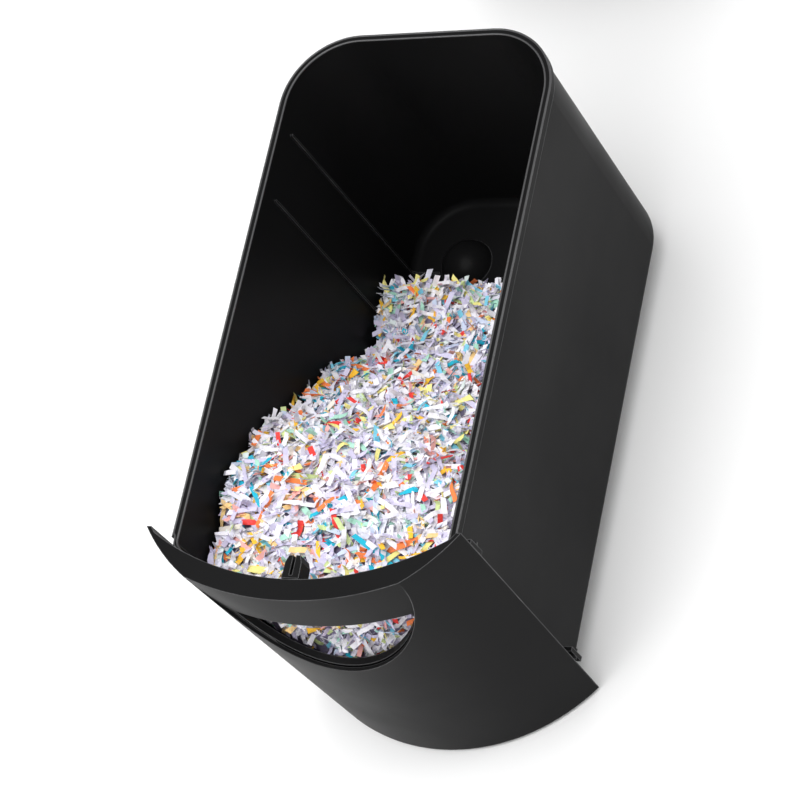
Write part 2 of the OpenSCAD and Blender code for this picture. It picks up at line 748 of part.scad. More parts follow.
module shaft_bushes() {
    color("#b08d4c") in_cabinet() for (s = [-1, 1]) {
        difference() {
            union() {
                rod(s * shaft_half, cutter_z, bush_r, plate_y0 - 1.5, plate_y0 + plate_t);
                rod(s * shaft_half, cutter_z, bush_r + 2, plate_y0 - 1.5, plate_y0);
            }
            rod(s * shaft_half, cutter_z, shaft_r + run_fit, plate_y0 - 3, plate_y0 + plate_t + 1);
        }
        difference() {
            union() {
                rod(s * shaft_half, cutter_z, bush_r, plate_y1, plate_y1 + plate_t + 1.5);
                rod(s * shaft_half, cutter_z, bush_r + 2, plate_y1 + plate_t, plate_y1 + plate_t + 1.5);
            }
            rod(s * shaft_half, cutter_z, shaft_r + run_fit, plate_y1 - 1, plate_y1 + plate_t + 3);
        }
    }
}

// Stripper comb: a bar beside a shaft, with a finger in each gap between its discs
module comb(s) {
    tip = shaft_half + shaft_r + 1;
    first = disc_y0 + (s < 0 ? disc_t : 0) + 0.4;
    color("#34363a") in_cabinet() {
        translate([s > 0 ? comb_x0 : -comb_x1, plate_y0 + plate_t, cutter_z - 24])
            cube([comb_x1 - comb_x0, block_len, 48]);
        for (i = [0 : disc_count - 1]) translate([s > 0 ? tip : -comb_x0 - eps,
                first + i * disc_pitch + (s > 0 ? -0.4 : 0) + 0.3, cutter_z - 13])
            cube([comb_x0 - tip + eps, disc_t - 0.6, 26]);
    }
}
module left_comb() { comb(-1); }
module right_comb() { comb(1); }

module cutter_shaft(s, y1) {
    color(steel) in_cabinet() rod(s * shaft_half, cutter_z, shaft_r, plate_y0 - 6, y1);
}
module left_shaft() { cutter_shaft(-1, layer[1] + gear_w[1] + 1); }
module right_shaft() { cutter_shaft(1, layer[0] + gear_w[0] + 0.8); }

// A disc with sharp hooks round its edge
function disc_points() = [for (i = [0 : hook_count - 1]) let (a = 360 * i / hook_count, p = 360 / hook_count)
    for (k = [[0, disc_r], [0.72, disc_r - 0.5], [0.74, disc_r - 3], [0.86, disc_r - 3.4], [0.98, disc_r - 1]])
        k[1] * [cos(a + p * k[0]), sin(a + p * k[0])]];

module cutters(s) {
    y0 = disc_y0 + (s < 0 ? 0 : disc_t + 0.2);
    color("#8f949a") in_cabinet() for (i = [0 : disc_count - 1])
        slab(y0 + i * disc_pitch, disc_t) translate([s * shaft_half, cutter_z]) difference() {
            rotate(s * 13 * i) mirror([s < 0 ? 1 : 0, 0]) polygon(disc_points());
            circle(shaft_r + slip);
        }
}
module left_cutters() { cutters(-1); }
module right_cutters() { cutters(1); }

// --- gears: involute teeth, each gear turned so that it meshes with the one before it ---

function involute(rb, t) = rb * [cos(t) + t * PI / 180 * sin(t), sin(t) - t * PI / 180 * cos(t)];
function turned(p, a) = [p[0] * cos(a) - p[1] * sin(a), p[0] * sin(a) + p[1] * cos(a)];
function roll_angle(rb, r) = sqrt(pow(r / rb, 2) - 1) * 180 / PI;
function polar_angle(p) = atan2(p[1], p[0]);

// Outline of a gear with n teeth of module m; play is taken off each flank at the pitch circle
function gear_points(n, m, play = 0.09, steps = 4) =
    let (rp = n * m / 2, rb = rp * cos(20), ra = rp + 0.92 * m, rr = rp - 1.2 * m,
         r0 = max(rb, rr + 0.05),
         shift = 90 / n - play * m / rp * 180 / PI + polar_angle(involute(rb, roll_angle(rb, rp))),
         flank = [for (i = [0 : steps]) involute(rb, roll_angle(rb, r0 + (ra - r0) * i / steps))])
    [for (k = [0 : n - 1]) let (a = 360 * k / n) each concat(
        [turned(rr * [cos(-shift), sin(-shift)], a)],
        [for (p = flank) turned(turned(p, -shift), a)],
        [for (i = [steps : -1 : 0]) turned([turned(flank[i], -shift)[0], -turned(flank[i], -shift)[1]], a)],
        [turned(rr * [cos(shift), sin(shift)], a)])];

// Turn of the second gear of a pair, whose centre lies at angle phi from the first's
function meshed(phi, turn1, n1, n2) = phi + 180 + 180 / n2 - (turn1 - phi) * n1 / n2;

tie_turn = 0;
right_turn = meshed(0, tie_turn, tie_teeth, tie_teeth);
drive_turn = 0;
idler_small_turn = meshed(idler_angle, drive_turn, drive_teeth, idler_small);
idler_big_turn = 0;
pinion_turn = meshed(motor_angle, idler_big_turn, idler_big, pinion_teeth);

module gear(x, z, y0, w, n, m, turn, bore) {
    slab(y0, w) translate([x, z]) difference() {
        rotate(turn) polygon(gear_points(n, m));
        circle(bore);
    }
}

module left_shaft_gear() {
    color("#9aa0a6") in_cabinet()
        gear(-shaft_half, cutter_z, layer[0], gear_w[0], tie_teeth, tie_module, tie_turn, shaft_r + slip);
}
module right_shaft_gear() {
    color("#9aa0a6") in_cabinet()
        gear(shaft_half, cutter_z, layer[0], gear_w[0], tie_teeth, tie_module, right_turn, shaft_r + slip);
}
module drive_gear() {
    color("#d9d4c4") in_cabinet() difference() {
        gear(-shaft_half, cutter_z, layer[1], gear_w[1], drive_teeth, drive_module, drive_turn, shaft_r + slip);
        slab(layer[1] - 1, 2.6) translate([-shaft_half, cutter_z]) difference() {
            circle(drive_teeth * drive_module / 2 - 5);
            circle(shaft_r + 4);
        }
        slab(layer[1] + gear_w[1] - 1.6, 2.6) translate([-shaft_half, cutter_z]) difference() {
            circle(drive_teeth * drive_module / 2 - 5);
            circle(shaft_r + 4);
        }
    }
}
module idler_gear() {
    color("#d9d4c4") in_cabinet() {
        gear(idler_x, idler_z, layer[1], layer[2] - layer[1] + eps, idler_small, drive_module, idler_small_turn,
             idler_pin_r + run_fit);
        gear(idler_x, idler_z, layer[2], gear_w[2], idler_big, fast_module, idler_big_turn, idler_pin_r + run_fit);
    }
}
module idler_pin() {
    color(steel) in_cabinet() rod(idler_x, idler_z, idler_pin_r, plate_y1, gearbox_y + plate_t);
}

module gearbox_plate() {
    color(steel) in_cabinet() difference() {
        translate([-plate_half, gearbox_y, plate_z0]) cube([plate_half + gearbox_x1, plate_t, plate_h]);
        rod(idler_x, idler_z, idler_pin_r + slip, gearbox_y - 1, gearbox_y + plate_t + 1);
        rod(motor_x, motor_z, 8, gearbox_y - 1, gearbox_y + plate_t + 1);
    }
}
gear_posts = [[-rod_x, rod_z[0]], [-rod_x, rod_z[1]], [gearbox_x1 - 8, rod_z[0]], [gearbox_x1 - 8, rod_z[1]]];
module gearbox_posts() {
    color(steel) in_cabinet() for (p = gear_posts) rod(p[0], p[1], 3.5, plate_y1 + plate_t, gearbox_y);
}

// --- motor ---

module motor_can() {
    color("#6f7378") in_cabinet() difference() {
        union() {
            rod(motor_x, motor_z, motor_r, motor_y, motor_y + motor_len);
            rod(motor_x, motor_z, 7.8, gearbox_y + 0.5, motor_y + eps);
            rod(motor_x, motor_z, 10, motor_y + motor_len - eps, motor_y + motor_len + 2);
        }
        rod(motor_x, motor_z, motor_shaft_r + run_fit, gearbox_y - 1, motor_y + motor_len + 5);
        for (i = [0 : 7]) translate([motor_x, motor_y + motor_len - 9, motor_z]) rotate([0, 45 * i, 0])
            translate([motor_r - 3, 0, -4]) cube([6, 6, 8]);
    }
}
module motor_shaft() {
    color(steel) in_cabinet() rod(motor_x, motor_z, motor_shaft_r, layer[2] - 1, motor_y + motor_len + 8);
}
module motor_pinion() {
    color("#b08d4c") in_cabinet()
        gear(motor_x, motor_z, layer[2], gear_w[2], pinion_teeth, fast_module, pinion_turn, motor_shaft_r + slip);
}
module motor_fan() {
    fan_y = motor_y + motor_len + 3;
    color("#2d2f33") in_cabinet() {
        difference() {
            rod(motor_x, motor_z, 7, fan_y, fan_y + 4.5);
            rod(motor_x, motor_z, motor_shaft_r + slip, fan_y - 1, fan_y + 6);
        }
        for (i = [0 : 6]) translate([motor_x, fan_y + 2.2, motor_z]) rotate([0, i * 360 / 7, 0])
            translate([6.6, 0, 0]) rotate([28, 0, 0]) translate([0, -0.6, -4]) cube([17, 1.2, 8]);
    }
}

// --- electrics ---

module circuit_board() {
    color("#1f6b3a") in_cabinet() difference() {
        translate([-58, 6, deck_top + 6]) cube([116, 1.6, 62]);
        for (s = [-1, 1], z = [deck_top + 11, deck_top + 63]) rod(s * 53, z, 1.6, 5, 9);
    }
}
module board_components() {
    y = 6;
    color("#3a3d42") in_cabinet() {
        translate([-50, y - 20, deck_top + 12]) cube([30, 20, 26]);
        translate([28, y - 16, deck_top + 14]) cube([18, 16, 14]);
        translate([-8, y - 10, deck_top + 48]) cube([26, 10, 8]);
        for (i = [0 : 2]) translate([-8 + 12 * i, y, deck_top + 20]) rotate([90, 0, 0]) cylinder(r = 4.5, h = 14);
        for (i = [0 : 3]) translate([-48 + 8 * i, y - 4, deck_top + 50]) cube([4, 4, 7]);
    }
}

module interlock_switch() {
    color("#232428") in_cabinet() difference() {
        translate([-10, plunger_y - 4, deck_top]) cube([20, 9, 12]);
        translate([0, plunger_y, deck_top - 1]) cylinder(r = plunger_r + run_fit, h = 11);
    }
}
module interlock_plunger() {
    color("#b3262a") in_cabinet() translate([0, plunger_y, key_top + 0.4])
        cylinder(r = plunger_r, h = deck_top + 7 - key_top);
}

module paper_sensor() {
    color("#232428") in_cabinet() difference() {
        union() {
            for (k = [-1, 1]) translate([slot_w / 2 + 2, lever_y + (k > 0 ? 4.4 : -7.4), lever_z - 5]) cube([lever_x + 4 - slot_w / 2, 3, 11]);
            translate([lever_x + 5, lever_y - 7.4, lever_z - 5]) cube([4, 14.8, 11]);
        }
        rod(lever_x, lever_z, 1.5 + run_fit, lever_y - 9, lever_y + 9);
    }
}
module paper_lever() {
    color("#dadada") in_cabinet() {
        rod(lever_x, lever_z, 1.5, lever_y - 8, lever_y + 8);
        slab(lever_y - 2, 4) {
            translate([lever_x, lever_z]) circle(3);
            translate([lever_x, lever_z]) rotate(189) translate([0, -1.2]) square([lever_x + 1.5, 2.4]);
        }
    }
}

module mains_inlet() {
    y0 = cabinet_d - 18;
    color("#151516") in_cabinet() difference() {
        union() {
            translate([inlet_x - 13.8, y0, inlet_z - 9.8]) cube([27.6, 18.5, 19.6]);
            translate([inlet_x - 16, cabinet_d, inlet_z - 12]) cube([32, 2, 24]);
        }
        translate([inlet_x - 11, y0 + 4, inlet_z - 7]) cube([22, 20, 14]);
    }
}
module inlet_pins() {
    color(steel) in_cabinet() for (x = [-5, 5]) rod(inlet_x + x, inlet_z, 1.2, cabinet_d - 14 - eps, cabinet_d - 3);
}

// --- fasteners ---

module cover_screws() {
    color(steel) in_cabinet() for (s = [-1, 1], p = post_xy) translate([s * p[0], p[1], 0]) {
        translate([0, 0, deck_z - eps]) cylinder(r = 1.6, h = deck_t + 14);
        translate([0, 0, deck_z - 1.9]) difference() {
            cylinder(r = 3.2, h = 1.9);
            for (a = [0, 90]) rotate(a) translate([-1.9, -0.4, -1]) cube([3.8, 0.8, 1.9]);
        }
    }
}
module block_screws() {
    color(steel) in_cabinet() for (s = [-1, 1], y = block_screw_y) translate([s * block_screw_x, y, deck_z + 0.2]) {
        cylinder(r = 1.6, h = deck_t + 3);
        translate([0, 0, deck_t + 2.8]) difference() {
            cylinder(r = 3.2, h = 2);
            for (a = [0, 90]) rotate(a) translate([-1.9, -0.4, 1.2]) cube([3.8, 0.8, 1]);
        }
    }
}
module button_spring() {
    color(steel) in_cabinet() translate([button_x, -15, board_z]) difference() {
        cylinder(r = 6, h = panel_z - 4.3 - board_z);
        translate([0, 0, -1]) cylinder(r = 5, h = 12);
    }
}

bin_tub();
bin_fascia();
interlock_key();
fascia_screws();
front_glides();
wheel_brackets();
wheel_pins();
paper_shreds();
left_bin_wheel();
right_bin_wheel();
cabinet_shell();
base_frame();
rubber_feet();
head_base();
head_cover();
feed_throat();
control_panel();
panel_board();
panel_switches();
status_lenses();
front_bearing_plate();
rear_bearing_plate();
tie_rods();
shaft_bushes();
left_comb();
right_comb();
gearbox_plate();
gearbox_posts();
idler_pin();
motor_can();
circuit_board();
board_components();
interlock_switch();
paper_sensor();
mains_inlet();
inlet_pins();
cover_screws();
block_screws();
left_shaft();
left_cutters();
left_shaft_gear();
drive_gear();
right_shaft();
right_cutters();
right_shaft_gear();
idler_gear();
motor_shaft();
motor_pinion();
motor_fan();
mode_slider();
reverse_button();
button_spring();
paper_lever();
interlock_plunger();
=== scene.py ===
import json
import math

import bmesh
import bpy
import numpy as np
from mathutils import Matrix, Vector, noise
from mathutils.bvhtree import BVHTree

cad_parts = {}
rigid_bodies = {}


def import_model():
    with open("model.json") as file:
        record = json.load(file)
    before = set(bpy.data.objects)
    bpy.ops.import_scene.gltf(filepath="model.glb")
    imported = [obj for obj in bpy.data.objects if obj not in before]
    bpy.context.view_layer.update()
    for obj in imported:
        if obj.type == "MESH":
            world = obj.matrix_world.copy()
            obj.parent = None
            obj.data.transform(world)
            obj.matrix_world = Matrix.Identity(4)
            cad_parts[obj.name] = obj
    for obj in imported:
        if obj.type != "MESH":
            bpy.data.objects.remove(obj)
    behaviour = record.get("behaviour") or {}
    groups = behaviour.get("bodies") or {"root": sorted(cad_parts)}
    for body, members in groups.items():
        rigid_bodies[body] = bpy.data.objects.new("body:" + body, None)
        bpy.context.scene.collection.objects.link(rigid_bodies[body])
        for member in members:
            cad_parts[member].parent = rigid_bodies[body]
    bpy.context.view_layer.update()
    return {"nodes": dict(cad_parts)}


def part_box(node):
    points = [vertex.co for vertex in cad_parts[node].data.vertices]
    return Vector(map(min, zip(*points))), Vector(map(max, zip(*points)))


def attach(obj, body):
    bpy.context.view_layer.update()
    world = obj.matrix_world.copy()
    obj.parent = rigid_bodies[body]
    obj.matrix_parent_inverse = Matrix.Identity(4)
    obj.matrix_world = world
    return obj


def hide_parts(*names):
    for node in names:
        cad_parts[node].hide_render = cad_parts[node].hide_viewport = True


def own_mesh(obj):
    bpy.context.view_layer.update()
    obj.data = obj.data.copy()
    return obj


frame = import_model()
node = frame["nodes"]
scene = bpy.context.scene


# --- Studio: a pale floor, a wide soft light overhead and two softer ones, and the camera ---
# The floor is a smooth pale board. The camera looks steeply down on the drawn-out bin from the
# front right and is rolled over, so that the bin stands up on its bowed front in the picture.
tub_low, tub_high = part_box("bin_tub")
bin_middle = Vector((0, (tub_low.y + tub_high.y) / 2, (tub_low.z + tub_high.z) / 2))

floor_reach = 6
floor_data = bpy.data.meshes.new("studio_floor")
floor_data.from_pydata([(x * floor_reach, y * floor_reach, 0) for x, y in ((-1, -1), (1, -1), (1, 1), (-1, 1))],
                       [], [(0, 1, 2, 3)])
studio_floor = bpy.data.objects.new("studio_floor", floor_data)
scene.collection.objects.link(studio_floor)


def new_material(name):
    material = bpy.data.materials.new(name)
    material.use_nodes = True
    return material, material.node_tree, material.node_tree.nodes["Principled BSDF"]


floor_paint, _, shader = new_material("pale_floor")
shader.inputs["Base Color"].default_value = (0.93, 0.93, 0.93, 1)
shader.inputs["Roughness"].default_value = 0.6
floor_data.materials.append(floor_paint)

sky = bpy.data.worlds.new("studio_white")
sky.use_nodes = True
sky.node_tree.nodes["Background"].inputs["Color"].default_value = (1, 1, 1, 1)
sky.node_tree.nodes["Background"].inputs["Strength"].default_value = 0.62
scene.world = sky


def softbox(name, place, look_at, size, watts):
    lamp = bpy.data.lights.new(name, "AREA")
    lamp.shape = "RECTANGLE"
    lamp.size, lamp.size_y = size
    lamp.energy = watts
    box = bpy.data.objects.new(name, lamp)
    box.location = place
    box.rotation_euler = (Vector(look_at) - Vector(place)).to_track_quat("-Z", "Y").to_euler()
    scene.collection.objects.link(box)


softbox("overhead_softbox", (-0.1, -0.5, 2.4), bin_middle, (2.2, 2.2), 57)
softbox("front_softbox", (-1.2, -2.2, 1.3), bin_middle, (1.2, 0.8), 8)
softbox("side_softbox", (2.4, 0.5, 1.5), (0.3, 0.1, 0), (1.2, 1.2), 10)

# degrees round the bin from the front, above the floor, and rolled about the line of sight
camera_around, camera_above, camera_rolled = 47.68, 52.65, -41.45
camera_distance = 2.0
camera_aim = bin_middle + Vector((-0.0113, 0.0121, 0.0359))
camera_data = bpy.data.cameras.new("camera")
camera_data.lens = 150
camera_data.shift_x = 0.0086
camera_data.shift_y = -0.0725
camera = bpy.data.objects.new("camera", camera_data)
turn = (Matrix.Rotation(math.radians(camera_around), 4, "Z")
        @ Matrix.Rotation(math.radians(90 - camera_above), 4, "X")
        @ Matrix.Rotation(math.radians(camera_rolled), 4, "Z"))
camera.matrix_world = Matrix.Translation(camera_aim) @ turn @ Matrix.Translation((0, 0, camera_distance))
scene.collection.objects.link(camera)
scene.camera = camera
scene.view_settings.view_transform = "Standard"


# --- Waste bin: tub, bowed front and safety key ---
# All three are black ABS, injection moulded with a fine spark-eroded grain. Moulded edges are
# slightly rounded and handling has polished them. The edges are painted a lighter grey, part wear
# and part painted highlight.
def new_group(name, inputs, outputs):
    """A shader group with named inputs and outputs, and its two end nodes."""
    group = bpy.data.node_groups.new(name, "ShaderNodeTree")
    for label, kind, value in inputs:
        group.interface.new_socket(label, in_out="INPUT", socket_type=kind).default_value = value
    for label, kind in outputs:
        group.interface.new_socket(label, in_out="OUTPUT", socket_type=kind)
    return group, group.nodes.new("NodeGroupInput"), group.nodes.new("NodeGroupOutput")


def put(tree, kind, links=(), values=(), **settings):
    """One node, with some inputs linked from other nodes and some set to a value."""
    made = tree.nodes.new(kind)
    for key, value in settings.items():
        setattr(made, key, value)
    for key, value in values:
        made.inputs[key].default_value = value
    for key, source in links:
        tree.links.new(source, made.inputs[key])
    return made


def ranged(tree, source, low, high, to_low=0.0, to_high=1.0):
    """Source carried from the span low to high over to the span to_low to to_high, and held there."""
    return put(tree, "ShaderNodeMapRange", [("Value", source)],
               [("From Min", low), ("From Max", high), ("To Min", to_low), ("To Max", to_high)]).outputs["Result"]


def multiplied(tree, one, other):
    return put(tree, "ShaderNodeMath", [(0, one), (1, other)], operation="MULTIPLY").outputs[0]


def noisy(tree, place, scale, detail):
    return put(tree, "ShaderNodeTexNoise", [("Vector", place)], [("Scale", scale), ("Detail", detail)]).outputs["Fac"]


worn_highlit, worn_highlit_in, worn_highlit_out = new_group("rounded_worn_highlit_surface", [
    ("Color", "NodeSocketColor", (0.5, 0.5, 0.5, 1)), ("Worn Highlight Color", "NodeSocketColor", (0.6, 0.6, 0.6, 1)),
    ("Roughness", "NodeSocketFloat", 0.45), ("Edge Radius", "NodeSocketFloat", 0.0006),
    ("Wear and Highlight", "NodeSocketFloat", 0.5), ("Grain Scale", "NodeSocketFloat", 1400.0),
    ("Grain Depth", "NodeSocketFloat", 0.12), ("Mottle", "NodeSocketFloat", 0.15)],
    [("Color", "NodeSocketColor"), ("Roughness", "NodeSocketFloat"), ("Normal", "NodeSocketVector")])
here = put(worn_highlit, "ShaderNodeTexCoord").outputs["Object"]
rounded = put(worn_highlit, "ShaderNodeBevel", [("Radius", worn_highlit_in.outputs["Edge Radius"])], samples=6).outputs["Normal"]
flat = put(worn_highlit, "ShaderNodeNewGeometry").outputs["Normal"]
facing = put(worn_highlit, "ShaderNodeVectorMath", [(0, rounded), (1, flat)], operation="DOT_PRODUCT").outputs["Value"]
# worn and painted with a highlight where the surface turns a corner, in patches, and only where the corner stands
# proud
worn_highlight_edge = multiplied(worn_highlit, ranged(worn_highlit, facing, 0.995, 0.86), noisy(worn_highlit, here, 45.0, 4.0))
open_air = put(worn_highlit, "ShaderNodeAmbientOcclusion", [], [("Distance", 0.004)], samples=4).outputs["AO"]
worn_highlight_edge = multiplied(worn_highlit, worn_highlight_edge, ranged(worn_highlit, open_air, 0.6, 0.9))
worn_highlight_edge = multiplied(worn_highlit, worn_highlight_edge, worn_highlit_in.outputs["Wear and Highlight"])
shade = multiplied(worn_highlit, ranged(worn_highlit, noisy(worn_highlit, here, 9.0, 5.0), 0.3, 0.7, -0.5, 0.5), worn_highlit_in.outputs["Mottle"])
level = put(worn_highlit, "ShaderNodeMath", [(0, shade)], [(1, 1.0)], operation="ADD").outputs[0]
tinted = put(worn_highlit, "ShaderNodeVectorMath", [(0, worn_highlit_in.outputs["Color"]), ("Scale", level)],
             operation="SCALE").outputs[0]
# the edges take the lighter colour: part wear, part painted highlight
worn_and_highlighted = put(worn_highlit, "ShaderNodeMix", [(0, worn_highlight_edge), (6, tinted), (7, worn_highlit_in.outputs["Worn Highlight Color"])],
            data_type="RGBA").outputs[2]
grain = put(worn_highlit, "ShaderNodeTexNoise", [("Vector", here), ("Scale", worn_highlit_in.outputs["Grain Scale"])],
            [("Detail", 2.0)]).outputs["Fac"]
rough = put(worn_highlit, "ShaderNodeMath", [(0, shade), (1, worn_highlit_in.outputs["Roughness"])], operation="ADD").outputs[0]
rough = put(worn_highlit, "ShaderNodeMath", [(0, worn_highlight_edge), (2, rough)], [(1, -0.18)], operation="MULTIPLY_ADD").outputs[0]
bumped = put(worn_highlit, "ShaderNodeBump",
             [("Strength", worn_highlit_in.outputs["Grain Depth"]), ("Height", grain), ("Normal", rounded)],
             [("Distance", 0.0002)]).outputs["Normal"]
for label, source in (("Color", worn_and_highlighted), ("Roughness", rough), ("Normal", bumped)):
    worn_highlit.links.new(source, worn_highlit_out.inputs[label])


# The lighter edge colour given here is part wear and part painted highlight.
def worn_highlit_finish(name, color, worn_highlight_color, roughness, edge_radius=0.0006, wear_and_highlight=0.5, grain_scale=1400.0,
                grain_depth=0.12, mottle=0.15, metallic=0.0, coat=0.0, gloss=0.5):
    material, tree, shader = new_material(name)
    surface = put(tree, "ShaderNodeGroup", node_tree=worn_highlit)
    for key, value in (("Color", (*color, 1)), ("Worn Highlight Color", (*worn_highlight_color, 1)), ("Roughness", roughness),
                       ("Edge Radius", edge_radius), ("Wear and Highlight", wear_and_highlight), ("Grain Scale", grain_scale),
                       ("Grain Depth", grain_depth), ("Mottle", mottle)):
        surface.inputs[key].default_value = value
    for key, target in (("Color", "Base Color"), ("Roughness", "Roughness"), ("Normal", "Normal")):
        tree.links.new(surface.outputs[key], shader.inputs[target])
    shader.inputs["Metallic"].default_value = metallic
    shader.inputs["Specular IOR Level"].default_value = gloss
    shader.inputs["Coat Weight"].default_value = coat
    return material


def dress(material, *names):
    for name in names:
        node[name].data.materials.clear()
        node[name].data.materials.append(material)


# edges painted mid grey on the near-black plastic: part wear, part painted highlight
black_abs = worn_highlit_finish("black_grained_abs", (0.0080, 0.0080, 0.0083), (0.30, 0.30, 0.31), 0.40,
                        edge_radius=0.0008, wear_and_highlight=1.0, gloss=0.038)
dress(black_abs, "bin_tub", "bin_fascia", "interlock_key")


# --- Rolled bead along the tub's rim ---
# The injection mould leaves a fine bead on both edges of the rim, which stiffens it. It runs round
# the back and the sides and turns back at the front, and its rounded top has been rubbed shiny.
# The bead's plastic is painted lighter than the tub's, a painted highlight along the rim.
bead_radius = 0.00065
bead_spacing = 0.003
weld = 1e-6
rim = bmesh.new()
rim.from_mesh(node["bin_tub"].data)
bmesh.ops.remove_doubles(rim, verts=rim.verts, dist=weld)
rim_z = max(v.co.z for v in rim.verts)
crown = {f for f in rim.faces if all(abs(v.co.z - rim_z) < 1e-5 for v in f.verts)}
edge_of_crown = {e for e in rim.edges if sum(f in crown for f in e.link_faces) == 1}
outline, step_from = [], min(edge_of_crown, key=lambda e: e.index)
at = step_from.verts[0]
while edge_of_crown:
    outline.append(at.co.copy())
    at = step_from.other_vert(at)
    edge_of_crown.discard(step_from)
    onward = [e for e in at.link_edges if e in edge_of_crown]
    if not onward:
        break
    step_from = onward[0]
rim.free()


def moved_in(loop, step):
    """The closed plan outline, moved inwards by step, or outwards where step is negative."""
    area = sum(a.x * b.y - b.x * a.y for a, b in zip(loop, loop[1:] + loop[:1]))
    turn = 1 if area > 0 else -1
    out = []
    for before, at, after in zip(loop[-1:] + loop[:-1], loop, loop[1:] + loop[:1]):
        along = ((at - before).normalized() + (after - at).normalized()).normalized()
        out.append(at + Vector((-along.y, along.x, 0)) * turn * step)
    return out


def new_builder(name, takes, inputs):
    """A geometry tree that turns the geometry it takes into another, and its two end nodes."""
    tree = bpy.data.node_groups.new(name, "GeometryNodeTree")
    tree.interface.new_socket(takes, in_out="INPUT", socket_type="NodeSocketGeometry")
    for label, kind, value in inputs:
        made = tree.interface.new_socket(label, in_out="INPUT", socket_type=kind)
        if value is not None:
            made.default_value = value
    tree.interface.new_socket("Geometry", in_out="OUTPUT", socket_type="NodeSocketGeometry")
    return tree, tree.nodes.new("NodeGroupInput"), tree.nodes.new("NodeGroupOutput")


sweep, sweep_in, sweep_out = new_builder("bead_along_edge", "Edge", [
    ("Bead Radius", "NodeSocketFloat", 0.001), ("Spacing", "NodeSocketFloat", 0.003),
    ("Finish", "NodeSocketMaterial", None)])
path = put(sweep, "GeometryNodeMeshToCurve", [("Mesh", sweep_in.outputs["Edge"])]).outputs[0]
path = put(sweep, "GeometryNodeResampleCurve", [("Curve", path), ("Length", sweep_in.outputs["Spacing"])],
           mode="LENGTH").outputs[0]
section = put(sweep, "GeometryNodeCurvePrimitiveCircle", [("Radius", sweep_in.outputs["Bead Radius"])],
              [("Resolution", 10)]).outputs[0]
tube = put(sweep, "GeometryNodeCurveToMesh", [("Curve", path), ("Profile Curve", section)]).outputs[0]
tube = put(sweep, "GeometryNodeSetShadeSmooth", [("Geometry", tube)]).outputs[0]
tube = put(sweep, "GeometryNodeRealizeInstances", [("Geometry", tube)]).outputs[0]
tube = put(sweep, "GeometryNodeSetMaterial",
           [("Geometry", tube), ("Material", sweep_in.outputs["Finish"])]).outputs[0]
sweep.links.new(tube, sweep_out.inputs[0])


def baked(name, source, tree, inputs):
    """A plain mesh object made by running a geometry tree on source, which is used up."""
    maker = bpy.data.objects.new(name + "_maker", source)
    scene.collection.objects.link(maker)
    step = maker.modifiers.new("build", "NODES")
    step.node_group = tree
    sockets = {s.name: s.identifier for s in tree.interface.items_tree if s.in_out == "INPUT"}
    for label, value in inputs.items():
        step[sockets[label]] = value
    data = bpy.data.meshes.new_from_object(maker.evaluated_get(bpy.context.evaluated_depsgraph_get()))
    maker.modifiers.remove(step)
    bpy.data.objects.remove(maker)
    data.name = name
    piece = bpy.data.objects.new(name, data)
    scene.collection.objects.link(piece)
    return piece


# lighter than the tub's black: a painted highlight on the bead
rubbed_highlit_abs = worn_highlit_finish("rubbed_highlit_black_abs", (0.055, 0.055, 0.057), (0.20, 0.20, 0.21), 0.24, grain_depth=0.04)
bead_sunk, bead_inset = bead_radius * 0.2, bead_radius * 0.8
edge_lines = bpy.data.meshes.new("rim_lines")
ring = [(p.x, p.y, rim_z - bead_sunk) for p in moved_in(outline, bead_inset)]
edge_lines.from_pydata(ring, [(n, (n + 1) % len(ring)) for n in range(len(ring))], [])
rim_bead = baked("rim_bead", edge_lines, sweep,
                 {"Bead Radius": bead_radius, "Spacing": bead_spacing, "Finish": rubbed_highlit_abs})
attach(rim_bead, "bin")


# --- Screws, glides, brackets, pins and wheels of the bin ---
# Black-oxide screws hold the front to the tub's ears. Two nylon wheels turn on steel pins between
# the lugs of a moulded bracket, and two glides carry the front end.
oxide_steel = worn_highlit_finish("black_oxide_steel", (0.012, 0.012, 0.013), (0.20, 0.20, 0.21), 0.38, edge_radius=0.0002,
                          wear_and_highlight=0.6, grain_scale=2600.0, metallic=0.6, gloss=0.3)
dark_nylon = worn_highlit_finish("dark_nylon", (0.018, 0.018, 0.019), (0.12, 0.12, 0.12), 0.5, edge_radius=0.0004,
                         grain_scale=1800.0, gloss=0.25)
tyre_nylon = worn_highlit_finish("wheel_nylon", (0.022, 0.022, 0.023), (0.15, 0.15, 0.15), 0.55, wear_and_highlight=0.9,
                         grain_depth=0.3, gloss=0.2)
dress(oxide_steel, "fascia_screws")
dress(dark_nylon, "wheel_brackets", "front_glides")
dress(tyre_nylon, "left_bin_wheel", "right_bin_wheel")


# --- Cut paper in the bin ---
# A loose heap of cross-cut office paper, banked against the front. Each scrap is a strip the
# width of one cutter disc, curled by the hooks, mostly white and some of it printed in colour.
heap_low, heap_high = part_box("paper_shreds")
heap = bmesh.new()
heap.from_mesh(node["paper_shreds"].data)
bmesh.ops.remove_doubles(heap, verts=heap.verts, dist=weld)
heap_tree = BVHTree.FromBMesh(heap)
heap.free()
cell = 0.0025
above_heap = 0.05
coarse_lumps, coarse_height = 22, 0.010          # lumps a metre, and how high they stand
fine_lumps, fine_height = 60, 0.005
settled = 0.003
# the paper has slumped away from the left wall, towards the back, and is banked up in front of that
slump_width, slump_depth, slump_back, slump_length = 0.07, 0.021, 0.062, 0.030
crest_height, crest_back = 0.008, 0.170
cols = int((heap_high.x - heap_low.x) / cell) + 1
rows = int((heap_high.y - heap_low.y) / cell) + 1


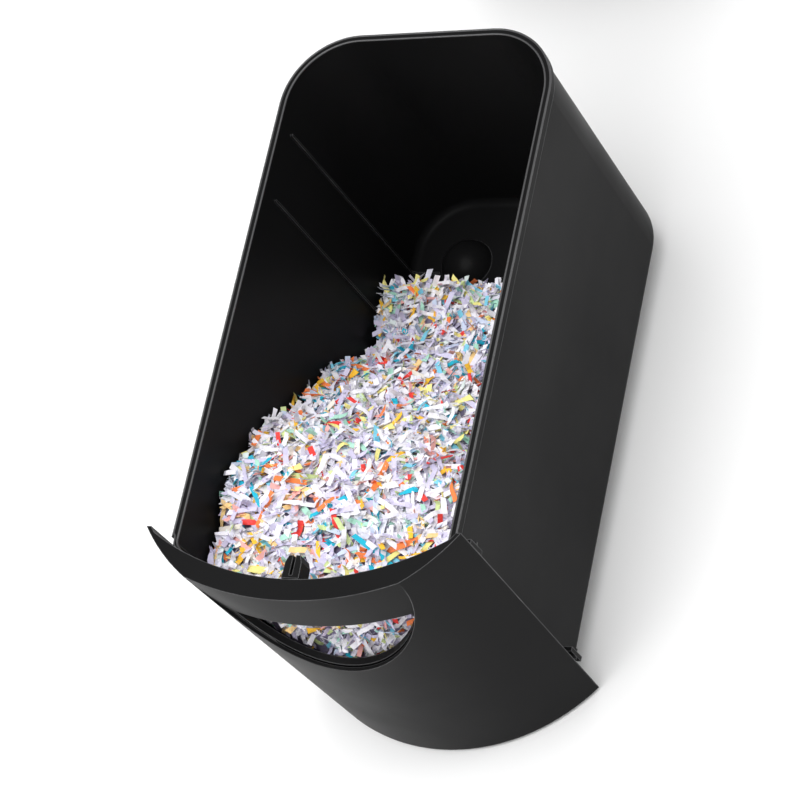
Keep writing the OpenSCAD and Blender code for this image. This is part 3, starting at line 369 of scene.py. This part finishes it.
def heap_top(x, y):
    """Height of the loose paper over a point of the floor, or None outside the heap."""
    hit = heap_tree.ray_cast(Vector((x, y, heap_high.z + above_heap)), Vector((0, 0, -1)))[0]
    if hit is None:
        return None
    lumps = (noise.noise(Vector((x, y, hit.z)) * coarse_lumps) * coarse_height
             + noise.noise(Vector((x, y, hit.z + 3)) * fine_lumps) * fine_height)
    from_wall = min(1.0, max(0.0, (x - heap_low.x) / slump_width))
    slump = slump_depth * (1 - from_wall) ** 2 * math.exp(-((y - heap_high.y + slump_back) / slump_length) ** 2)
    crest = crest_height * (1 - from_wall) * math.exp(-((y - heap_high.y + crest_back) / slump_length) ** 2)
    return hit.z + lumps - slump + crest - settled


verts, index, faces = [], {}, []
thinnest = 0.001
for j in range(rows):
    for i in range(cols):
        x, y = heap_low.x + (i + 0.5) * cell, heap_low.y + (j + 0.5) * cell
        top = heap_top(x, y)
        if top is not None:
            index[i, j] = len(verts)
            verts.append((x, y, max(top, heap_low.z + thinnest)))
for j in range(rows - 1):
    for i in range(cols - 1):
        corner = [(i, j), (i + 1, j), (i + 1, j + 1), (i, j + 1)]
        if all(c in index for c in corner):
            faces.append([index[c] for c in corner])
heap_skin = bpy.data.meshes.new("heap_skin")
heap_skin.from_pydata(verts, [], faces)

strip_w, strip_t, strip_l = 0.0029, 0.00018, 0.018
scraps = bpy.data.collections.new("scraps")


def scrap(name, bend, twist, wave, ragged, steps=6):
    """One scrap, a closed ribbon along X, bent, twisted, waved and torn ragged at its ends."""
    ring, skin = [], []
    x, z, angle = 0.0, 0.0, -bend / 2
    for k in range(steps + 1):
        t = k / steps
        roll = twist * (t - 0.5)
        width = strip_w * (1 - 0.25 * ragged * math.sin(7 * t + twist))
        side = Vector((0, math.cos(roll), math.sin(roll))) * width / 2
        up = Vector((-math.sin(angle), 0, math.cos(angle))) * strip_t / 2
        middle = Vector((x - strip_l / 2, 0, z))
        slant = Vector((ragged * strip_w * (0.5 if k in (0, steps) else 0), 0, 0))
        ring.append([middle + side + up + slant, middle - side + up - slant,
                     middle - side - up - slant, middle + side - up + slant])
        angle += bend / steps + wave * math.cos(2 * math.pi * t)
        x += strip_l / steps * math.cos(angle)
        z += strip_l / steps * math.sin(angle)
    points = [p for r in ring for p in r]
    shift = sum(points, Vector()) / len(points)
    for k in range(steps):
        a, b = 4 * k, 4 * k + 4
        skin += [(a + n, a + (n + 1) % 4, b + (n + 1) % 4, b + n) for n in range(4)]
    last = 4 * steps
    skin += [(3, 2, 1, 0), (last, last + 1, last + 2, last + 3)]
    data = bpy.data.meshes.new(name)
    data.from_pydata([tuple(p - shift) for p in points], [], skin)
    shell = bmesh.new()
    shell.from_mesh(data)
    bmesh.ops.recalc_face_normals(shell, faces=shell.faces)
    shell.to_mesh(data)
    shell.free()
    scraps.objects.link(bpy.data.objects.new(name, data))


# bend, twist, wave and raggedness of each
shapes = [(0.3, 0.2, 0.0, 0.2), (0.8, -0.3, 0.1, -0.4), (1.5, 0.4, 0.0, 0.5), (2.2, 0.0, 0.2, 0.1),
          (3.1, 0.5, 0.0, -0.3), (0.1, 1.2, 0.3, 0.4), (-0.6, -0.9, 0.45, 0.0), (0.9, 1.6, -0.3, -0.5),
          (0.2, 0.1, 0.7, 0.3), (1.1, 0.0, -0.6, -0.1)]
for k, (bend, twist, wave, ragged) in enumerate(shapes):
    scrap(f"scrap_{k}", bend, twist, wave, ragged)

litter, litter_in, litter_out = new_builder("scatter_scraps", "Heap", [
    ("Scraps per Square Metre", "NodeSocketFloat", 60000.0), ("Seed", "NodeSocketInt", 1),
    ("Depth", "NodeSocketFloat", 0.006), ("Tilt", "NodeSocketFloat", 1.0), ("Paper", "NodeSocketMaterial", None)])
spread = put(litter, "GeometryNodeDistributePointsOnFaces",
             [("Mesh", litter_in.outputs["Heap"]), ("Density", litter_in.outputs["Scraps per Square Metre"]),
              ("Seed", litter_in.outputs["Seed"])])


def chance(low, high, salt, kind="FLOAT"):
    """A random value for each scrap, in its own order for each salt."""
    made = put(litter, "FunctionNodeRandomValue", data_type=kind)
    salted = put(litter, "ShaderNodeMath", [(0, litter_in.outputs["Seed"])], [(1, float(salt))],
                 operation="ADD").outputs[0]
    litter.links.new(salted, made.inputs["Seed"])
    at = {"FLOAT": (2, 3, 1), "FLOAT_VECTOR": (0, 1, 0)}[kind]
    made.inputs[at[0]].default_value = low
    made.inputs[at[1]].default_value = high
    return made.outputs[at[2]]


spin = put(litter, "FunctionNodeEulerToRotation",
           [(0, chance((0, 0, 0), (0, 0, 6.2832), 11, "FLOAT_VECTOR"))]).outputs[0]
# cubed, so that most scraps lie nearly flat and a few stand up
lean = chance((-1, -1, -3.1416), (1, 1, 3.1416), 23, "FLOAT_VECTOR")
power = put(litter, "ShaderNodeVectorMath", [(0, lean), (1, lean)], operation="MULTIPLY").outputs[0]
power = put(litter, "ShaderNodeVectorMath", [(0, power), (1, lean)], operation="MULTIPLY").outputs[0]
lean = put(litter, "ShaderNodeVectorMath", [(0, power), ("Scale", litter_in.outputs["Tilt"])],
            operation="SCALE").outputs[0]
lean = put(litter, "FunctionNodeEulerToRotation", [(0, lean)]).outputs[0]
turned = put(litter, "FunctionNodeRotateRotation", [("Rotation", spread.outputs["Rotation"]), ("Rotate By", lean)],
             rotation_space="LOCAL").outputs[0]
turned = put(litter, "FunctionNodeRotateRotation", [("Rotation", turned), ("Rotate By", spin)],
             rotation_space="LOCAL").outputs[0]
pile = put(litter, "GeometryNodeCollectionInfo", [],
           [("Collection", scraps), ("Separate Children", True), ("Reset Children", True)])
lay = put(litter, "GeometryNodeInstanceOnPoints",
          [("Points", spread.outputs["Points"]), ("Instance", pile.outputs[0]), ("Rotation", turned),
           ("Scale", chance((0.7, 0.9, 0.8), (1.65, 1.2, 1.2), 31, "FLOAT_VECTOR"))], [("Pick Instance", True)])
drop = multiplied(litter, chance(-1.0, 0.15, 47), litter_in.outputs["Depth"])
drop = put(litter, "ShaderNodeVectorMath", [(0, spread.outputs["Normal"]), ("Scale", drop)],
           operation="SCALE").outputs[0]
keep = put(litter, "GeometryNodeTranslateInstances", [("Instances", lay.outputs[0]), ("Translation", drop)],
           [("Local Space", False)])
mark = put(litter, "GeometryNodeStoreNamedAttribute",
           [("Geometry", keep.outputs[0]), ("Value", chance(0.0, 1.0, 59))],
           [("Name", "tint")], data_type="FLOAT", domain="INSTANCE")
real = put(litter, "GeometryNodeRealizeInstances", [("Geometry", mark.outputs[0])])
paint = put(litter, "GeometryNodeSetMaterial",
            [("Geometry", real.outputs[0]), ("Material", litter_in.outputs["Paper"])])
litter.links.new(paint.outputs[0], litter_out.inputs[0])


def banded(tree, source, bands):
    """The colour of the band that source falls in, from pairs of where a band starts and its colour."""
    ramp = put(tree, "ShaderNodeValToRGB", [(0, source)])
    ramp.color_ramp.interpolation = "CONSTANT"
    for k, (start, color) in enumerate(bands):
        stop = ramp.color_ramp.elements[k] if k < 2 else ramp.color_ramp.elements.new(start)
        stop.position, stop.color = start, (*color, 1)
    return ramp.outputs["Color"]


def paper_finish(name, tints, print_amount):
    """Paper in one of the tints for each scrap, with patches of grey print and a fibrous surface."""
    material, tree, shader = new_material(name)
    tint = put(tree, "ShaderNodeAttribute", attribute_name="tint").outputs["Fac"]
    colored = banded(tree, tint, [(k / len(tints), color) for k, color in enumerate(tints)])
    spot = put(tree, "ShaderNodeTexCoord").outputs["Object"]
    inked = ranged(tree, noisy(tree, spot, 260.0, 2.0), 0.60, 0.64, 0.0, print_amount)
    dark = put(tree, "ShaderNodeMix", [(0, inked), (6, colored)], [(7, (0.16, 0.15, 0.22, 1))],
               data_type="RGBA").outputs[2]
    tree.links.new(dark, shader.inputs["Base Color"])
    bumps = put(tree, "ShaderNodeBump", [("Height", noisy(tree, spot, 900.0, 3.0))],
                [("Strength", 0.25), ("Distance", 0.0002)])
    tree.links.new(bumps.outputs["Normal"], shader.inputs["Normal"])
    shader.inputs["Roughness"].default_value = 0.78
    shader.inputs["Specular IOR Level"].default_value = 0.25
    return material


white, cool, pale_blue, lilac = (0.90, 0.885, 0.94), (0.80, 0.79, 0.90), (0.60, 0.68, 0.85), (0.66, 0.62, 0.81)
pale_green, cream = (0.72, 0.80, 0.78), (0.86, 0.80, 0.72)
teal, sky_blue, mint, leaf = (0.02, 0.48, 0.66), (0.22, 0.62, 0.80), (0.42, 0.74, 0.60), (0.66, 0.78, 0.36)
red, vermilion, coral = (0.82, 0.06, 0.05), (0.93, 0.24, 0.07), (0.90, 0.45, 0.42)
orange, amber, straw = (0.95, 0.55, 0.05), (0.95, 0.66, 0.30), (0.92, 0.84, 0.30)
# scraps a square metre, their tints, and how much of them is printed on
sorts = {
    "shreds_white_low": (40000, [white, lilac, white, cool, white, lilac, cool, white], 0.15),
    "shreds_white_top": (20000, [white, white, cool, white, lilac, white, cool, lilac], 0.10),
    "shreds_printed": (18000, [white, cool, lilac, pale_blue, white, pale_green, lilac, cream], 0.6),
    "shreds_coloured": (22000, [teal, orange, red, straw, vermilion, mint, sky_blue, coral, leaf, amber], 0.2),
}
thinning = 1.0
front_low, front_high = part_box("bin_fascia")
bow_depth = front_high.y - front_low.y
bow_radius = (front_high.x ** 2 + bow_depth ** 2) / (2 * bow_depth)
front_wall = 0.0085                  # from the outside of the bow to the inside of the tub's front
front_lean, side_lean = 0.0264, 0.0152
wall_gap, floor_gap = 0.0004, 0.0002


def inside_tub(data):
    """Bends scraps along the tub's walls, front and floor instead of through them."""
    co = np.empty(len(data.vertices) * 3, np.float32)
    data.vertices.foreach_get("co", co)
    co = co.reshape(-1, 3)
    reach = heap_high.x + wall_gap - (heap_high.z - co[:, 2]) * side_lean
    co[:, 0] = np.clip(co[:, 0], -reach, reach)
    centre_y = front_low.y + bow_radius + (rim_z - co[:, 2]) * front_lean
    nearest = centre_y - np.sqrt((bow_radius - front_wall) ** 2 - co[:, 0] ** 2)
    co[:, 1] = np.maximum(co[:, 1], nearest)
    co[:, 2] = np.maximum(co[:, 2], heap_low.z + floor_gap)
    data.vertices.foreach_set("co", co.reshape(-1))
    data.update()


deep_layer, top_layer, scrap_tilt = 0.010, 0.004, 0.6
for k, (name, (density, tints, ink)) in enumerate(sorts.items()):
    piece = baked(name, heap_skin.copy(), litter, {
        "Scraps per Square Metre": density / thinning, "Seed": 100 * k + 7,
        "Depth": deep_layer if k == 0 else top_layer, "Tilt": scrap_tilt,
        "Paper": paper_finish(name + "_paper", tints, ink)})
    inside_tub(piece.data)
    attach(piece, "bin")
    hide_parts("paper_shreds")

# the imported paper under the loose scraps, a closed body that fills the tub below them; its
# paper is painted a dark lilac grey, painted shade for the gaps between the scraps
core_drop, core_least = 0.0045, 0.0004
core = bmesh.new()
core.from_mesh(heap_skin)
for v in core.verts:
    v.co.z = max(v.co.z - core_drop, heap_low.z + core_least)
bottom = bmesh.ops.extrude_face_region(core, geom=core.faces[:])
for v in (g for g in bottom["geom"] if isinstance(g, bmesh.types.BMVert)):
    v.co.z = heap_low.z
bmesh.ops.recalc_face_normals(core, faces=core.faces)
packed = bpy.data.meshes.new("packed_shreds")
core.to_mesh(packed)
core.free()
# dark lilac grey: painted shade where the gaps between scraps show this body
packed.materials.append(paper_finish("packed_shreds_shaded_paper", [(0.22, 0.19, 0.29), (0.30, 0.27, 0.38)], 0.5))
inside_tub(packed)
packed_shreds = bpy.data.objects.new("packed_shreds", packed)
scene.collection.objects.link(packed_shreds)
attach(packed_shreds, "bin")
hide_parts("paper_shreds")
for cut in list(scraps.objects):
    bpy.data.objects.remove(cut)
bpy.data.collections.remove(scraps)


# --- Cabinet, base frame and feet ---
# The cabinet is a black ABS sleeve, open at the front for the bin, screwed to a frame that stands
# on four rubber feet.
dress(black_abs, "cabinet_shell", "head_base", "head_cover")
dress(dark_nylon, "base_frame")
rubber = worn_highlit_finish("foot_rubber", (0.014, 0.014, 0.014), (0.05, 0.05, 0.05), 0.85,
                     grain_scale=900.0, grain_depth=0.4, gloss=0.2)
dress(rubber, "rubber_feet")


# --- Head: feed throat ---
# The throat is one moulding of hard black ABS that drops through the cover. Its lips are polished
# by the paper that slides over them.
throat_abs = worn_highlit_finish("throat_abs", (0.006, 0.006, 0.0065), (0.12, 0.12, 0.125), 0.28,
                         wear_and_highlight=0.9, grain_depth=0.05, gloss=0.35)
dress(throat_abs, "feed_throat")


# --- Control panel: fascia plate, slider, reverse button and lenses ---
# A gloss black plate snaps into the head. The slider and the button are grey ABS, and three clear
# lenses show power, full bin and overheat.
panel_gloss = worn_highlit_finish("panel_gloss", (0.004, 0.004, 0.0045), (0.08, 0.08, 0.085), 0.12,
                          wear_and_highlight=0.4, grain_depth=0.0, mottle=0.05, coat=0.6)
grey_abs = worn_highlit_finish("grey_control_abs", (0.30, 0.31, 0.33), (0.45, 0.46, 0.48), 0.42,
                       grain_scale=1600.0, mottle=0.06)
dress(panel_gloss, "control_panel")
dress(grey_abs, "mode_slider", "reverse_button")
status_lens, tree, shader = new_material("status_lens")
spot = put(tree, "ShaderNodeTexCoord").outputs["Object"]
across = put(tree, "ShaderNodeSeparateXYZ", [(0, spot)]).outputs["X"]
lens_low, lens_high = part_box("status_lenses")
lit_green, dark_amber, dark_red = (0.03, 0.62, 0.12), (0.30, 0.16, 0.01), (0.28, 0.01, 0.01)
glow = banded(tree, ranged(tree, across, lens_low.x, lens_high.x),
              [(0.0, lit_green), (0.35, dark_amber), (0.65, dark_red)])
bump = put(tree, "ShaderNodeBump", [("Height", noisy(tree, spot, 1500.0, 2.0))],
           [("Strength", 0.15), ("Distance", 0.0001)])
tree.links.new(glow, shader.inputs["Base Color"])
tree.links.new(bump.outputs["Normal"], shader.inputs["Normal"])
shader.inputs["Roughness"].default_value = 0.2
shader.inputs["Coat Weight"].default_value = 0.5
dress(status_lens, "status_lenses")


# --- Spring under the reverse button ---
# Music wire, coiled with closed ends, pushed over the stem of the button. It stands on the panel's
# board.
spring_low, spring_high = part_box("button_spring")
spring_middle = (spring_low + spring_high) / 2
spring_height = spring_high.z - spring_low.z
wire_radius, wire_spacing = 0.00028, 0.0006
coil_radius = (spring_high.x - spring_low.x) / 2 - wire_radius
turns, per_turn = 7, 28
ends_closed = 0.75                   # 0 for even turns, 1 for ends that lie flat
coil = bpy.data.meshes.new("spring_line")
steps = turns * per_turn
line = []
for k in range(steps + 1):
    t = k / steps
    rise = t - math.sin(2 * math.pi * t) / (2 * math.pi) * ends_closed
    angle = 2 * math.pi * turns * t
    line.append((spring_middle.x + coil_radius * math.cos(angle),
                 spring_middle.y + coil_radius * math.sin(angle),
                 spring_low.z + wire_radius + rise * (spring_height - 2 * wire_radius)))
coil.from_pydata(line, [(k, k + 1) for k in range(steps)], [])
turned_steel = worn_highlit_finish("turned_steel", (0.52, 0.53, 0.55), (0.75, 0.75, 0.76), 0.28, edge_radius=0.0002, wear_and_highlight=0.4,
                           grain_scale=2200.0, grain_depth=0.08, mottle=0.1, metallic=1.0)
spring_wire = baked("spring_wire", coil, sweep,
                    {"Bead Radius": wire_radius, "Spacing": wire_spacing, "Finish": turned_steel})
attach(spring_wire, "cabinet")
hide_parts("button_spring")
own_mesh(spring_wire)


# --- Cutting block: plates, rods, shafts, bushes, cutters and combs ---
# Two pressed steel plates, tied by four rods, carry two steel shafts in sintered bushes. Hardened
# cutter discs are keyed to the shafts, and nylon combs strip the paper from between them.
brushed, brushed_in, brushed_out = new_group("rolled_steel_sheet", [
    ("Color", "NodeSocketColor", (0.6, 0.6, 0.6, 1)), ("Roughness", "NodeSocketFloat", 0.35),
    ("Streak Scale", "NodeSocketFloat", 60.0), ("Oil", "NodeSocketFloat", 0.3)],
    [("Color", "NodeSocketColor"), ("Roughness", "NodeSocketFloat"), ("Normal", "NodeSocketVector")])
spot = put(brushed, "ShaderNodeTexCoord").outputs["Object"]
long_way = put(brushed, "ShaderNodeMapping", [("Vector", spot)], [("Scale", (1.0, 24.0, 24.0))]).outputs[0]
streak = put(brushed, "ShaderNodeTexNoise", [("Vector", long_way), ("Scale", brushed_in.outputs["Streak Scale"])],
             [("Detail", 3.0)]).outputs["Fac"]
film = put(brushed, "ShaderNodeTexNoise", [("Vector", spot)],
           [("Scale", 28.0), ("Detail", 5.0), ("Distortion", 0.6)]).outputs["Fac"]
film = multiplied(brushed, ranged(brushed, film, 0.48, 0.66), brushed_in.outputs["Oil"])
tone = ranged(brushed, streak, 0.3, 0.7, 0.82, 1.1)
toned = put(brushed, "ShaderNodeVectorMath", [(0, brushed_in.outputs["Color"]), ("Scale", tone)],
            operation="SCALE").outputs[0]
oiled = put(brushed, "ShaderNodeMix", [(0, film), (6, toned)], [(7, (0.10, 0.085, 0.06, 1))],
            data_type="RGBA").outputs[2]
shine = put(brushed, "ShaderNodeMath", [(0, streak), (2, brushed_in.outputs["Roughness"])], [(1, 0.15)],
            operation="MULTIPLY_ADD").outputs[0]
shine = put(brushed, "ShaderNodeMath", [(0, film), (2, shine)], [(1, -0.12)], operation="MULTIPLY_ADD").outputs[0]
combed = put(brushed, "ShaderNodeBump", [("Height", streak)],
             [("Strength", 0.12), ("Distance", 0.0002)]).outputs["Normal"]
for label, source in (("Color", oiled), ("Roughness", shine), ("Normal", combed)):
    brushed.links.new(source, brushed_out.inputs[label])


def steel_finish(name, color, roughness, streaks, oil):
    material, tree, shader = new_material(name)
    surface = put(tree, "ShaderNodeGroup", node_tree=brushed)
    for key, value in (("Color", (*color, 1)), ("Roughness", roughness), ("Streak Scale", streaks), ("Oil", oil)):
        surface.inputs[key].default_value = value
    for key, target in (("Color", "Base Color"), ("Roughness", "Roughness"), ("Normal", "Normal")):
        tree.links.new(surface.outputs[key], shader.inputs[target])
    shader.inputs["Metallic"].default_value = 1.0
    return material


dress(steel_finish("rolled_plate_steel", (0.56, 0.57, 0.59), 0.30, 60.0, 0.15),
      "front_bearing_plate", "rear_bearing_plate", "gearbox_plate")
dress(turned_steel, "tie_rods", "left_shaft", "right_shaft", "motor_shaft", "idler_pin", "gearbox_posts",
      "wheel_pins")
dress(steel_finish("oiled_cutter_steel", (0.42, 0.43, 0.45), 0.24, 110.0, 0.7), "left_cutters", "right_cutters")
dress(worn_highlit_finish("sintered_bronze", (0.42, 0.27, 0.11), (0.62, 0.45, 0.22), 0.42, grain_scale=3200.0,
                  grain_depth=0.3, metallic=1.0), "shaft_bushes")
dress(dark_nylon, "left_comb", "right_comb")


# --- Gear train ---
# Two steel gears tie the shafts together. The big drive gear and the idler are moulded in natural
# acetal, greased where they mesh, and a brass pinion sits on the motor's shaft.
acetal = worn_highlit_finish("greased_acetal", (0.66, 0.62, 0.50), (0.80, 0.78, 0.70), 0.36, edge_radius=0.0003,
                     grain_depth=0.05, mottle=0.3)
dress(acetal, "drive_gear", "idler_gear")
dress(steel_finish("gear_steel", (0.48, 0.49, 0.51), 0.28, 90.0, 0.6), "left_shaft_gear", "right_shaft_gear")
brass = worn_highlit_finish("cut_brass", (0.66, 0.47, 0.17), (0.86, 0.70, 0.36), 0.25, edge_radius=0.0002, wear_and_highlight=0.7,
                    grain_scale=2600.0, metallic=1.0)
dress(brass, "motor_pinion", "inlet_pins")


# --- Motor ---
# A drawn and zinc-plated steel can, screwed to the gearbox plate, with a nylon fan on its shaft.
dress(steel_finish("zinc_plated_can", (0.50, 0.52, 0.56), 0.34, 40.0, 0.1), "motor_can")
dress(dark_nylon, "motor_fan")


# --- Boards and what they carry ---
# Green lacquered fibreglass boards with copper tracks under the lacquer, carrying a transformer,
# capacitors, a relay and the small switches.
lacquered_board, tree, shader = new_material("lacquered_board")
spot = put(tree, "ShaderNodeTexCoord").outputs["Object"]
tracks = put(tree, "ShaderNodeTexBrick", [("Vector", spot)],
             [("Color1", (0.012, 0.11, 0.045, 1)), ("Color2", (0.010, 0.085, 0.035, 1)),
              ("Mortar", (0.035, 0.20, 0.075, 1)), ("Scale", 95.0), ("Mortar Size", 0.05),
              ("Mortar Smooth", 0.1)], offset=0.37, squash=1.4)
weave = put(tree, "ShaderNodeBump", [("Height", noisy(tree, spot, 500.0, 2.0))],
            [("Strength", 0.1), ("Distance", 0.0001)]).outputs["Normal"]
raised = put(tree, "ShaderNodeBump", [("Height", tracks.outputs["Fac"]), ("Normal", weave)],
             [("Strength", 0.3), ("Distance", 0.0001)])
tree.links.new(tracks.outputs["Color"], shader.inputs["Base Color"])
tree.links.new(raised.outputs["Normal"], shader.inputs["Normal"])
shader.inputs["Roughness"].default_value = 0.3
dress(lacquered_board, "circuit_board", "panel_board")
casings = worn_highlit_finish("component_casings", (0.035, 0.04, 0.05), (0.18, 0.18, 0.19), 0.38, edge_radius=0.0003,
                      mottle=0.5, gloss=0.45)
dress(casings, "board_components", "panel_switches", "interlock_switch", "paper_sensor")


# --- Paper lever, safety plunger, mains inlet and screws ---
# The lever is white acetal and hangs in the throat. The plunger is red nylon and stands over the
# bin's key. The inlet is a black socket with two brass pins in the rear wall.
dress(worn_highlit_finish("white_acetal", (0.72, 0.72, 0.70), (0.85, 0.85, 0.84), 0.35,
                  grain_depth=0.05, mottle=0.08), "paper_lever")
dress(worn_highlit_finish("red_nylon", (0.42, 0.02, 0.02), (0.62, 0.12, 0.10), 0.4, grain_depth=0.08), "interlock_plunger")
dress(throat_abs, "mains_inlet")
dress(worn_highlit_finish("zinc_screws", (0.55, 0.56, 0.58), (0.80, 0.80, 0.82), 0.30, edge_radius=0.0002, wear_and_highlight=0.6,
                  grain_scale=2600.0, metallic=1.0), "cover_screws", "block_screws")
